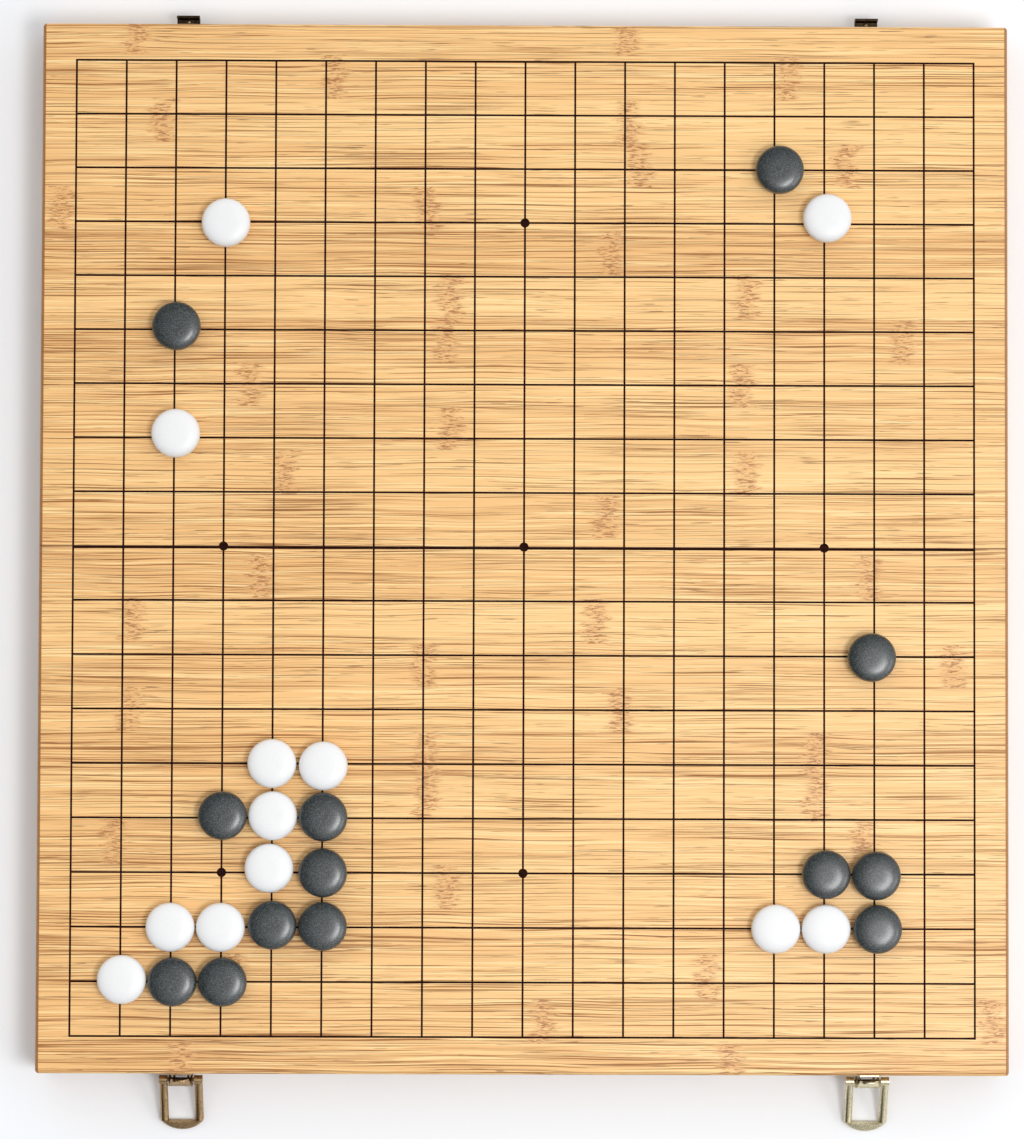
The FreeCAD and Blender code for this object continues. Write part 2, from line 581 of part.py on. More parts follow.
def catch_hook(x):
    """A plate, a shelf near the rim, and a lip on it that the loop's end bar drops behind."""
    half_width = HOOK_WIDTH / 2
    low, high = HOOK_PLATE
    shelf_top = HOOK_SHELF + HOOK_SHEET
    lip_in = HOOK_REACH - HOOK_SHEET
    crown = HOOK_SHEET / 2
    inner_bend = HOOK_BEND - HOOK_SHEET
    bend_centre = (HOOK_REACH - HOOK_BEND, HOOK_SHELF + HOOK_BEND)
    profile = [
        (0, low), (PLATE_THICKNESS, low), (PLATE_THICKNESS, HOOK_SHELF), (bend_centre[0], HOOK_SHELF),
        (arc_point(bend_centre, HOOK_BEND, -45), (HOOK_REACH, bend_centre[1])),
        (HOOK_REACH, HOOK_TIP - crown),
        ((HOOK_REACH - crown, HOOK_TIP), (lip_in, HOOK_TIP - crown)),
        (lip_in, bend_centre[1]),
        (arc_point(bend_centre, inner_bend, -45), (bend_centre[0], shelf_top)),
        (PLATE_THICKNESS, shelf_top), (PLATE_THICKNESS, high), (0, high),
    ]
    return extruded(on_wall(profile, 1), (x - half_width, x + half_width))


# ---------------------------------------------------------------- the stones

def stone(column, row, right, rear):
    """A biconvex stone on its crossing, as rings of facets that narrow towards the top and the bottom."""
    radius, half = STONE_DIAMETER / 2, STONE_THICKNESS / 2
    heights = [(-height, share) for height, share in reversed(STONE_RINGS[1:])] + list(STONE_RINGS)
    middle = Vector((column - CENTRE_LINE) * LINE_SPACING_X + right,
                    (CENTRE_LINE - row) * LINE_SPACING_Y + rear, FACE + STONE_LIFT + half)
    rings = []
    for height, share in heights:
        turns = [360 * k / STONE_SIDES for k in range(STONE_SIDES)]
        ring = [arc_point((middle.x, middle.y), radius * share, turn) for turn in turns]
        rings.append([Vector(px, py, middle.z + half * height) for px, py in ring])
    outlines = [rings[0], rings[-1]]
    for low, high in zip(rings, rings[1:]):
        outlines += [[low[k - 1], low[k], high[k], high[k - 1]] for k in range(STONE_SIDES)]
    faces = [Part.Face(Part.makePolygon(outline + outline[:1])) for outline in outlines]
    solid = Part.Solid(Part.Shell(faces))
    if solid.Volume < 0:
        solid.reverse()
    return solid


# ---------------------------------------------------------------- the whole board

def main():
    os.makedirs("parts", exist_ok=True)
    nodes = half_case("rear", 0)
    nodes.update(half_case("front", 180))
    nodes.update(hinges())
    for side, x in HARDWARE_PLACES.items():
        nodes.update(latch(side, x))
        nodes[side + "_catch_hook"] = catch_hook(x)
    for name, places in STONES.items():
        nodes[name] = Part.makeCompound([stone(*place) for place in places])
    for name, shape in nodes.items():
        shape.translate(Vector(0, SEAM_Y, 0))
        shape.exportStep("parts/" + name + ".step")
    print(len(nodes), "nodes, seam at Y", round(SEAM_Y, 3), "loop droop", round(math.degrees(LOOP_DROOP), 2))


main()
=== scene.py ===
import json
import math

import bmesh
import bpy
from bmesh.types import BMEdge, BMVert
from mathutils import Matrix, Vector


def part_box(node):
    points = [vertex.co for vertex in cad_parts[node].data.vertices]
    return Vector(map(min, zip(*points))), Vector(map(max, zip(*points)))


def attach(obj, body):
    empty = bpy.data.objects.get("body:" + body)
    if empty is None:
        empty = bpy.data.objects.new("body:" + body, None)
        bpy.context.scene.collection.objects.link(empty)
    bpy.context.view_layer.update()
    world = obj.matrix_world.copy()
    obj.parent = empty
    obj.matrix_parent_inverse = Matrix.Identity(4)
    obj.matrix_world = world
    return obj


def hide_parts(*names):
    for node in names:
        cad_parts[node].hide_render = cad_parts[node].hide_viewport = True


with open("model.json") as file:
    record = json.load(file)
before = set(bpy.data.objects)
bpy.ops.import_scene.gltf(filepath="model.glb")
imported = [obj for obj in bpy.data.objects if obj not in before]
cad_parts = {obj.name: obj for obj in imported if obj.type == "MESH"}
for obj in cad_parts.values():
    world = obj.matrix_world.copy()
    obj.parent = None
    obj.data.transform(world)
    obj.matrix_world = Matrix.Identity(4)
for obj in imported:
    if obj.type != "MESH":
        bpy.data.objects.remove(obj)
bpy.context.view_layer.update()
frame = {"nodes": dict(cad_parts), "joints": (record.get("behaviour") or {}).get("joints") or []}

# The looks of a folding bamboo go board with a stone drawer in each half. Metres, in the frame's own axes:
# +X to the players' right, +Y to the rear half with the hooks, +Z up out of the playing face.

MM = 0.001
TOUCHING = 0.001 * MM            # vertices nearer to each other than this are one
NODES = frame["nodes"]
JOINTS = {joint["name"]: joint for joint in frame["joints"]}

SEAM_Y = JOINTS["board_fold"]["pos_m"][1]
FACE_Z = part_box("rear_playing_panel")[1].z
HALF_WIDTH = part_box("rear_playing_panel")[1].x
HALF_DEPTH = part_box("rear_playing_panel")[1].y - SEAM_Y
HALVES = ("rear", "front")
SIDES = ("left", "right")

# ---------------------------------------------------------------- nodes and materials

SMOOTH = {"interpolation_type": "SMOOTHSTEP"}    # a MapRange from one end to the other without a corner


def linear(hex_colour):
    """An sRGB hex colour as linear RGBA."""
    channels = [int(hex_colour[i:i + 2], 16) / 255 for i in (1, 3, 5)]
    return [c / 12.92 if c <= 0.04045 else ((c + 0.055) / 1.055) ** 2.4 for c in channels] + [1.0]


def set_inputs(node, inputs):
    """Sets a node's inputs, in order or by name, to values or to other nodes' outputs. A node stands for the first
    of its outputs that is in use."""
    for key, value in inputs.items() if isinstance(inputs, dict) else enumerate(inputs):
        if isinstance(value, bpy.types.Node):
            value = next(output for output in value.outputs if output.enabled)
        if isinstance(value, bpy.types.NodeSocket):
            node.id_data.links.new(value, node.inputs[key])
        else:
            node.inputs[key].default_value = value


def add(tree, kind, inputs=(), **settings):
    """Adds a shader node with its settings and its inputs."""
    made = tree.nodes.new("ShaderNode" + kind)
    for name, value in settings.items():
        setattr(made, name, value)
    set_inputs(made, inputs)
    return made


def new_material(name):
    """An empty material: itself, its node tree, its Principled shader and the place on the object."""
    material = bpy.data.materials.new(name)
    material.use_nodes = True
    tree = material.node_tree
    tree.nodes.clear()
    shader = add(tree, "BsdfPrincipled")
    add(tree, "OutputMaterial", {"Surface": shader})
    return material, tree, shader, add(tree, "TexCoord").outputs["Object"]


def painted(tree, colour, *coats):
    """A colour with coats of others laid over it. A coat is its share, from 0 to 1, and its colour."""
    for share, coat in coats:
        coat = linear(coat) if isinstance(coat, str) else coat
        colour = add(tree, "Mix", {0: share, 6: colour, 7: coat}, data_type="RGBA")
    return colour


def streaks(tree, place, size, detail=2.0, twist=0.0):
    """Noise drawn out along X, in blobs of about that length and width."""
    length, width = size
    scaled = add(tree, "Mapping", {"Vector": place, "Scale": (1 / length, 1 / width, 1 / width)})
    return add(tree, "TexNoise", {"Vector": scaled, "Scale": 1.0, "Detail": detail, "Distortion": twist})


# ---------------------------------------------------------------- meshes and pieces


def finish(piece, material):
    """Gives a CAD node its material."""
    piece.data.materials.clear()
    piece.data.materials.append(material)


def as_piece(name, mesh, body, material):
    """An object of a mesh, riding on a body."""
    piece = bpy.data.objects.new(name, mesh)
    bpy.context.scene.collection.objects.link(piece)
    mesh.materials.clear()
    mesh.materials.append(material)
    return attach(piece, body)


def from_bmesh(name, bm, smooth_below=35):
    """A mesh from a bmesh, outward facing, smooth where faces meet at less than that many degrees."""
    bmesh.ops.recalc_face_normals(bm, faces=bm.faces)
    for face in bm.faces:
        face.smooth = True
    mesh = bpy.data.meshes.new(name)
    bm.to_mesh(mesh)
    bm.free()
    mesh.set_sharp_from_angle(angle=math.radians(smooth_below))
    return mesh


def merged_copy(node):
    """A bmesh of a CAD node, its loose triangles merged and its flat faces made whole."""
    bm = bmesh.new()
    bm.from_mesh(NODES[node].data)
    bmesh.ops.remove_doubles(bm, verts=bm.verts, dist=TOUCHING)
    bmesh.ops.dissolve_limit(bm, angle_limit=math.radians(1), verts=bm.verts, edges=bm.edges)
    return bm


def only(kind, geometry):
    """The items of one kind, out of what an operator gives back."""
    return [item for item in geometry if isinstance(item, kind)]


def cut_off(bm, verts, place, beyond):
    """Takes away what lies beyond a plane from a closed form, and closes it again. Gives the vertices that stay."""
    edges = dict.fromkeys(edge for vert in verts for edge in vert.link_edges)
    faces = dict.fromkeys(face for vert in verts for face in vert.link_faces)
    cut = bmesh.ops.bisect_plane(bm, geom=[*verts, *edges, *faces], plane_co=place, plane_no=beyond,
                                 dist=TOUCHING, clear_outer=True)
    bmesh.ops.edgenet_fill(bm, edges=only(BMEdge, cut["geom_cut"]))
    return only(BMVert, cut["geom"])


def solid_boxes(node):
    """The (low, high) corners of each separate solid in a CAD node."""
    bm = merged_copy(node)
    unseen = dict.fromkeys(bm.verts)
    boxes = []
    while unseen:
        found = [unseen.popitem()[0]]
        for vert in found:    # which grows as it is gone through
            fresh = [edge.other_vert(vert) for edge in vert.link_edges]
            fresh = [other for other in fresh if other in unseen]
            for other in fresh:
                del unseen[other]
            found += fresh
        spans = [sorted(vert.co[axis] for vert in found) for axis in range(3)]
        boxes.append((Vector([span[0] for span in spans]), Vector([span[-1] for span in spans])))
    bm.free()
    return boxes


# ---------------------------------------------------------------- bamboo

STRIP_PITCH = 19.45 * MM         # flat-pressed strips, side by side
FIRST_JOINT = 3.4 * MM           # from the seam to the first joint between strips
KNOT_PITCH = 190 * MM            # between the culm nodes along one strip of a plain board
KNOT_CORE = 2.1 * MM             # a culm's node shows in full this far along the grain, each way
KNOT_REACH = 7.0 * MM            # and not at all from here on
LEFT_PAINTED_SHADE = 0.4                # painted shade: a strip is darker by this much at the board's left end, away from the lamps
LEFT_SHADE_START = 0.3 * HALF_WIDTH    # and has its own tone from here to its other end
NO_KNOT = -400                   # a place beyond the board

# Each strip of a playing face, from the seam outwards: where its culm nodes lie along X in mm, and how dark it is.
FACE_STRIPS = {
    "rear": (
        (NO_KNOT, NO_KNOT, 0.35), (36, NO_KNOT, 0.6), (-105, 98, 0.2), (-33, NO_KNOT, 0.55), (-121, 96, 0.4),
        (-35, 167, 0.8), (-33, 98, 0.15), (38, NO_KNOT, 0.9), (-43, -205, 0.35), (50, 142, 0.45),
        (-160, 46, 0.1), (-85, 116, 0.55), (-172, 45, 0.5)),
    "front": (
        (NO_KNOT, NO_KNOT, 0.5), (-116, 152, 0.75), (-172, 32, 0.1), (-44, 188, 0.6), (43, -173, 0.35),
        (-42, 128, 0.8), (-43, 128, 0.3), (-180, 149, 0.5), (-34, NO_KNOT, 0.4), (NO_KNOT, NO_KNOT, 0.7),
        (81, -127, 0.35), (9, 205, 0.6), (91, -150, 0.8)),
}

# The marks in the wood, by their usual length along the grain and their width. Real fibres are 0.2 to 0.4 mm thick,
# and these are a little coarser, so that they show.
KNOT_RAGS = (60 * MM, 1.8 * MM)      # the ragged edge of the patch at a culm's node
RAGS_REACH = 16 * MM                 # how far the rags shift that edge along the grain
WAVES = (45 * MM, 14 * MM)           # how the fibres bend
WAVE_REACH = 1.8 * MM                # how far the waves shift a fibre across the grain
CROWDS = (80 * MM, 5 * MM)           # where fibres stand close together
SHADES = (110 * MM, 1.5 * MM)        # broad, faint, darker bands
FIBRES = (85 * MM, 0.36 * MM)
PITH = (70 * MM, 0.6 * MM)           # pale and soft, between the fibres
VESSELS = (17 * MM, 0.5 * MM)        # cut open by the saw
RUFFLES = (4.0 * MM, 0.55 * MM)      # short curls at a culm's node
MARK_DEPTH = 0.03 * MM

# Pith, vessels and ruffles show where their noise is high: the noise where they begin and where they are full, and
# their share of the colour at each of the two.
PITH_LEVELS = (0.54, 0.64, 0.0, 0.8)
VESSEL_LEVELS = (0.65, 0.69, 0.0, 0.75)
VESSEL_CROWDING = (0.34, 0.58)       # the crowds' noise where vessels begin and where all show
RUFFLE_LEVELS = (0.5, 0.58, 0.0, 0.8)
RUFFLE_TWIST = 1.1

# Shades and fibres show where their noise is under a limit. A limit gives what a dark strip or a crowd adds to it,
# and itself without that. The levels are how far under it the marks begin and are full, and their shares there.
SHADE_LIMIT = (0.05, 0.40)
SHADE_LEVELS = (0.0, 0.08, 0.0, 0.4)
FIBRE_LIMIT = (0.08, 0.335)
FIBRE_LEVELS = (0.0, 0.045)
FIBRES_LESS = -0.7                   # what a culm's node adds to the share of the fibres
FIBRE_ROUGHER = 0.15

KNOT_TINT = 0.3                      # the share of the tint around a culm's node
STRIP_JOINT = (0.486, 0.499, 0.0, 0.4)   # the glue between strips begins and is full this far from a strip's
                                     # middle, for a pitch of 1, and its share of the colour at each
STRIP_SHIFT = (0.731, 0.317)         # from one strip's fibres to the next one's, in the noise, along X and Z

# The tones of a board's palest and darkest strips.
FACE_TONES = ("#facb88", "#f0bc79")
CASE_TONES = ("#e6b576", "#c78f52")
BOARD_TONES = ("#edc48a", "#d8a66c")

# Turns that bring a board's grain to X and its strips' width to Y.
FLAT = (0, 0, 0)
UPRIGHT_ALONG_X = (-90, 0, 0)
UPRIGHT_ALONG_Y = (-90, 90, 0)


def face_strip(tree, place):
    """For a playing face: the strip's number, the share across it, its two culm nodes and its darkness. The
    darkness takes in painted shade, which grows towards the left end, away from the lamps."""
    strips = FACE_STRIPS["rear"] + FACE_STRIPS["front"]
    axes = add(tree, "SeparateXYZ", {"Vector": place})
    from_seam = add(tree, "Math", (axes.outputs["Y"], SEAM_Y), operation="SUBTRACT")
    outward = add(tree, "Math", (from_seam,), operation="ABSOLUTE")
    outward = add(tree, "Math", (outward, FIRST_JOINT - STRIP_PITCH), operation="SUBTRACT")
    across = add(tree, "Math", (outward, STRIP_PITCH), operation="DIVIDE")
    in_front = add(tree, "Math", (from_seam, 0.0), operation="LESS_THAN")
    number = add(tree, "Math", (across,), operation="FLOOR")
    number = add(tree, "Math", (in_front, len(FACE_STRIPS["rear"]), number), operation="MULTIPLY_ADD")
    middle = add(tree, "Math", (number, 0.5), operation="ADD")
    table = add(tree, "ValToRGB", (add(tree, "Math", (middle, len(strips)), operation="DIVIDE"),))
    stops = table.color_ramp
    stops.interpolation = "CONSTANT"
    for count, (first, second, darkness) in enumerate(strips):
        if count > 1:
            stops.elements.new(count / len(strips))
        stops.elements[count].position = count / len(strips)
        # a place along X is held as a colour, so it is moved to lie between 0 and 1
        stops.elements[count].color = (first * MM + 0.5, second * MM + 0.5, darkness, 1.0)
    parts = add(tree, "SeparateColor", {"Color": table.outputs["Color"]})
    knots = [add(tree, "Math", (parts.outputs[channel], 0.5), operation="SUBTRACT") for channel in (0, 1)]
    # painted shade, growing towards the left end, which lies away from the lamps
    left_painted_shade = add(tree, "MapRange", (axes.outputs["X"], LEFT_SHADE_START, -HALF_WIDTH, 0.0, LEFT_PAINTED_SHADE), **SMOOTH)
    darkness = add(tree, "Math", (parts.outputs[2], left_painted_shade), operation="ADD")
    return number, add(tree, "Math", (across,), operation="FRACT"), knots, darkness


def board_strip(tree, place):
    """For any other board: strips at the same pitch, with culm nodes at an even pitch that shifts by strip."""
    axes = add(tree, "SeparateXYZ", {"Vector": place})
    across = add(tree, "Math", (axes.outputs["Y"], STRIP_PITCH), operation="DIVIDE")
    number = add(tree, "Math", (across,), operation="FLOOR")
    chance = add(tree, "TexWhiteNoise", {"W": number}, noise_dimensions="1D").outputs["Value"]
    along = add(tree, "Math", (chance, KNOT_PITCH, axes.outputs["X"]), operation="MULTIPLY_ADD")
    nearest = add(tree, "Math", (along, KNOT_PITCH), operation="DIVIDE")
    nearest = add(tree, "Math", (nearest,), operation="ROUND")
    nearest = add(tree, "Math", (nearest, KNOT_PITCH), operation="MULTIPLY")
    shift = add(tree, "Math", (chance, KNOT_PITCH), operation="MULTIPLY")
    knot = add(tree, "Math", (nearest, shift), operation="SUBTRACT")
    return number, add(tree, "Math", (across,), operation="FRACT"), [knot], chance


def moved(tree, place, **shifts):
    """A place moved along X, Y or Z."""
    return add(tree, "VectorMath", (place, add(tree, "CombineXYZ", shifts)), operation="ADD")


def fibre_place(tree, place, number):
    """Where a fibre lies in the noise: every strip has its own fibres, and they bend a little."""
    along, up = [add(tree, "Math", (number, shift), operation="MULTIPLY") for shift in STRIP_SHIFT]
    fibre = moved(tree, place, X=along, Z=up)
    wave = streaks(tree, fibre, WAVES, 0.0)
    return moved(tree, fibre, Y=add(tree, "Math", (wave, WAVE_REACH), operation="MULTIPLY"))


def knot_share(tree, place, knots):
    """How near the next culm node is: 1 close to it, and 0 beyond its ragged edge."""
    rags = add(tree, "Math", (streaks(tree, place, KNOT_RAGS), 0.5), operation="SUBTRACT")
    axes = add(tree, "SeparateXYZ", {"Vector": place})
    along = add(tree, "Math", (rags, RAGS_REACH, axes.outputs["X"]), operation="MULTIPLY_ADD")
    gaps = [add(tree, "Math", (along, knot), operation="SUBTRACT") for knot in knots]
    gaps = [add(tree, "Math", (gap,), operation="ABSOLUTE") for gap in gaps]
    gap = add(tree, "Math", (gaps[0], gaps[-1]), operation="MINIMUM")
    return add(tree, "MapRange", (gap, KNOT_REACH, KNOT_CORE), **SMOOTH)


def bamboo(name, tones, turn=FLAT, strip=board_strip, roughness=0.4):
    """Flat-pressed bamboo under clear lacquer: long fibres in strips of differing tone, with dark dashes where
    vessels were cut open and a ruffled brown patch at each culm node."""
    material, tree, shader, placed = new_material(name)
    place = add(tree, "Mapping", {"Vector": placed, "Rotation": [math.radians(a) for a in turn]})
    number, across, knots, darkness = strip(tree, place)
    knot = knot_share(tree, place, knots)
    fibre = fibre_place(tree, place, number)
    crowd = streaks(tree, fibre, CROWDS)

    limit = add(tree, "Math", (darkness, *SHADE_LIMIT), operation="MULTIPLY_ADD")
    shade = add(tree, "Math", (limit, streaks(tree, fibre, SHADES)), operation="SUBTRACT")
    shade = add(tree, "MapRange", (shade, *SHADE_LEVELS), **SMOOTH)

    limit = add(tree, "Math", (crowd, *FIBRE_LIMIT), operation="MULTIPLY_ADD")
    limit = add(tree, "Math", (darkness, FIBRE_LIMIT[0], limit), operation="MULTIPLY_ADD")
    thread = add(tree, "Math", (limit, streaks(tree, fibre, FIBRES, 1.0)), operation="SUBTRACT")
    thread = add(tree, "MapRange", (thread, *FIBRE_LEVELS), **SMOOTH)
    away = add(tree, "Math", (knot, FIBRES_LESS, 1.0), operation="MULTIPLY_ADD")
    thread = add(tree, "Math", (thread, away), operation="MULTIPLY")

    pith = add(tree, "MapRange", (streaks(tree, fibre, PITH, 1.0), *PITH_LEVELS), **SMOOTH)

    vessel = add(tree, "MapRange", (streaks(tree, fibre, VESSELS, 1.0), *VESSEL_LEVELS), **SMOOTH)
    crowded = add(tree, "MapRange", (crowd, *VESSEL_CROWDING), **SMOOTH)
    vessel = add(tree, "Math", (vessel, crowded), operation="MULTIPLY")

    ruffle = add(tree, "MapRange", (streaks(tree, fibre, RUFFLES, 1.0, RUFFLE_TWIST), *RUFFLE_LEVELS), **SMOOTH)
    ruffle = add(tree, "Math", (ruffle, knot), operation="MULTIPLY")
    tint = add(tree, "Math", (knot, KNOT_TINT), operation="MULTIPLY")

    joint = add(tree, "Math", (across, 0.5), operation="SUBTRACT")
    joint = add(tree, "Math", (joint,), operation="ABSOLUTE")
    joint = add(tree, "MapRange", (joint, *STRIP_JOINT), **SMOOTH)

    light, dark = tones
    brown = painted(tree, linear("#96652c"), (darkness, "#a3692e"))
    colour = painted(
        tree, linear(light), (darkness, dark), (shade, "#dca464"), (pith, "#ffde9f"), (thread, brown),
        (vessel, "#775126"), (tint, "#d99a5c"), (ruffle, "#a0622e"), (joint, "#8d6232"))
    # the marks are sunk into the wood, and fibres are duller than it
    relief = add(tree, "Math", (thread, vessel), operation="ADD")
    relief = add(tree, "Math", (relief, ruffle), operation="ADD")
    relief = add(tree, "Math", (relief, -1.0), operation="MULTIPLY")
    set_inputs(shader, {
        "Base Color": colour,
        "Normal": add(tree, "Bump", {"Height": relief, "Distance": MARK_DEPTH, "Strength": 0.5}),
        "Roughness": add(tree, "Math", (thread, FIBRE_ROUGHER, roughness), operation="MULTIPLY_ADD"),
    })
    return material, tree, shader, placed, colour


# The playing face's edges: how far in from one each mark lies, and its share of the colour.
GLUE_LINE = (0.9 * MM, 1.2 * MM)     # the glue under the top layer, all round: from and to
GLUE_BLUR = (0.1 * MM, 0.15 * MM)    # how soft it is on its outer and its inner side
GLUE_SHARE = 0.6
END_GRAIN = (1.3 * MM, 1.6 * MM)     # brown at the short ends: in full up to, and gone from
END_GRAIN_SHARE = 0.8
SEAM_SHADE_EDGE = (0.25 * MM, 0.35 * MM)   # painted shade of the gap at the seam, dark brown: in full up to, and gone from
SEAM_SHADE_DEPTH = (0.5 * MM, 0.25 * MM)   # and down the seam's own face: gone from, and in full up to
SEAM_SHADE_SHARE = 0.85


def playing_face_bamboo():
    """The playing panels. The rounded edge cuts through the top layer and bares a thin glue line. The short ends
    are end grain: cut fibres that drank the lacquer and went brown. The edges at the seam are dark brown, as
    painted shade of the gap between the halves."""
    material, tree, shader, placed, colour = bamboo("bamboo_playing_face", FACE_TONES, strip=face_strip)
    axes = add(tree, "SeparateXYZ", {"Vector": placed})
    from_middle = add(tree, "Math", (axes.outputs["X"],), operation="ABSOLUTE")
    end_gap = add(tree, "Math", (HALF_WIDTH, from_middle), operation="SUBTRACT")
    from_seam = add(tree, "Math", (axes.outputs["Y"], SEAM_Y), operation="SUBTRACT")
    from_seam = add(tree, "Math", (from_seam,), operation="ABSOLUTE")
    side_gap = add(tree, "Math", (HALF_DEPTH, from_seam), operation="SUBTRACT")
    gap = add(tree, "Math", (end_gap, side_gap), operation="MINIMUM")

    full, gone = END_GRAIN
    end = add(tree, "MapRange", (end_gap, gone, full, 0.0, END_GRAIN_SHARE), **SMOOTH)
    outer, inner = GLUE_LINE
    line = add(tree, "MapRange", (gap, outer - GLUE_BLUR[0], outer, 0.0, GLUE_SHARE), **SMOOTH)
    inner_side = add(tree, "MapRange", (gap, inner + GLUE_BLUR[1], inner), **SMOOTH)
    line = add(tree, "Math", (line, inner_side), operation="MULTIPLY")
    # painted shade of the gap between the halves, on the seam's edges and down the top of its face
    full, gone = SEAM_SHADE_EDGE
    seam_shade = add(tree, "MapRange", (from_seam, gone, full, 0.0, SEAM_SHADE_SHARE), **SMOOTH)
    low, high = [FACE_Z - depth for depth in SEAM_SHADE_DEPTH]
    near_top = add(tree, "MapRange", (axes.outputs["Z"], low, high), **SMOOTH)
    seam_shade = add(tree, "Math", (seam_shade, near_top), operation="MULTIPLY")
    colour = painted(tree, colour, (end, "#9a6230"), (line, "#9a6230"), (seam_shade, "#65390c"))
    set_inputs(shader, {"Base Color": colour})
    return material


# ---------------------------------------------------------------- the other finishes

# The size of each finish's grain, and the noise between which its second tone comes in.
INK_GRAIN = (3 * MM, 1.2 * MM)
INK_LEVELS = (0.35, 0.7)
SATIN_TOOTH = (0.45 * MM, 0.45 * MM)     # coarser than real ground glass, so that it shows
TOOTH_LEVELS = (0.42, 0.72)
PATINA = (0.45 * MM, 0.45 * MM)
TARNISH_SPREAD = (-0.1, 0.2)         # around the noise where a metal's tarnish starts
METAL_ROUGHNESS = (0.3, 0.18)        # what the patina adds to it, and without it
HAMMERED_TOOTH = (0.6 * MM, 0.6 * MM)
FELT_NAP = (0.5 * MM, 0.25 * MM)     # coarser than real tufts of wool, so that it shows
NAP_LEVELS = (0.35, 0.7)


def printed_ink():
    """Screen-printed black ink with a reddish edge of its solvent: nearly matt, thin, and a little uneven."""
    material, tree, shader, placed = new_material("screen_printed_ink")
    uneven = add(tree, "MapRange", (streaks(tree, placed, INK_GRAIN), *INK_LEVELS), **SMOOTH)
    set_inputs(shader, {
        "Base Color": painted(tree, linear("#1b0704"), (uneven, "#301007")),
        "Roughness": 0.8,
        "Specular IOR Level": 0.1,
    })
    return material


def pressed_glass(name, colour, speck, roughness, polish):
    """Pressed opaque glass, tumbled: an even body with a fine satin tooth, under a smoother skin that glints."""
    material, tree, shader, placed = new_material(name)
    tooth = streaks(tree, placed, SATIN_TOOTH)
    share = add(tree, "MapRange", (tooth, *TOOTH_LEVELS), **SMOOTH)
    set_inputs(shader, {
        "Base Color": painted(tree, linear(colour), (share, speck)),
        "Normal": add(tree, "Bump", {"Height": tooth, "Distance": 0.03 * MM, "Strength": 0.3}),
        "Roughness": roughness,
        "IOR": 1.52,
        "Coat Weight": polish,
        "Coat Roughness": 0.24,
    })
    return material


def antique_metal(name, bright, tarnish, tarnish_from):
    """Plated die-cast zinc, barrel-aged: rubbed bright on its rises and dull in its dimples, with a fine hammered
    tooth."""
    material, tree, shader, placed = new_material(name)
    patina = streaks(tree, placed, PATINA, 3.0)
    dimple = streaks(tree, placed, HAMMERED_TOOTH)
    low, high = [tarnish_from + spread for spread in TARNISH_SPREAD]
    share = add(tree, "MapRange", (patina, low, high), **SMOOTH)
    set_inputs(shader, {
        "Base Color": painted(tree, linear(bright), (share, tarnish)),
        "Normal": add(tree, "Bump", {"Height": dimple, "Distance": 0.08 * MM, "Strength": 0.5}),
        "Roughness": add(tree, "Math", (patina, *METAL_ROUGHNESS), operation="MULTIPLY_ADD"),
        "Metallic": 1.0,
    })
    return material


def pressed_felt():
    """Pressed wool felt: matt, with a short tangled nap."""
    material, tree, shader, placed = new_material("pressed_wool_felt")
    nap = streaks(tree, placed, FELT_NAP, 4.0)
    share = add(tree, "MapRange", (nap, *NAP_LEVELS), **SMOOTH)
    set_inputs(shader, {
        "Base Color": painted(tree, linear("#1d1a18"), (share, "#4a443f")),
        "Normal": add(tree, "Bump", {"Height": nap, "Distance": 0.2 * MM, "Strength": 0.8}),
        "Roughness": 0.95,
        "Sheen Weight": 0.3,
    })
    return material


# ---------------------------------------------------------------- the printed lines

LINES = 19
LINE_SPACING_X = 22.0 * MM
LINE_SPACING_Y = 23.85 * MM
LINE_WIDTH = 0.85 * MM
MIDDLE_LINE_MORE = 0.3 * MM      # the middle line is wider by this much
INK_TOP = 0.05 * MM              # above the playing face
INK_GAP = 0.2 * INK_TOP          # between the face and the ink, so that the two don't share a plane
STAR_RADIUS = 2.05 * MM
STAR_COLUMNS = (-6, 0, 6)
STAR_ROWS = {"rear": (0, 6), "front": (0, -6)}   # rows from the middle line


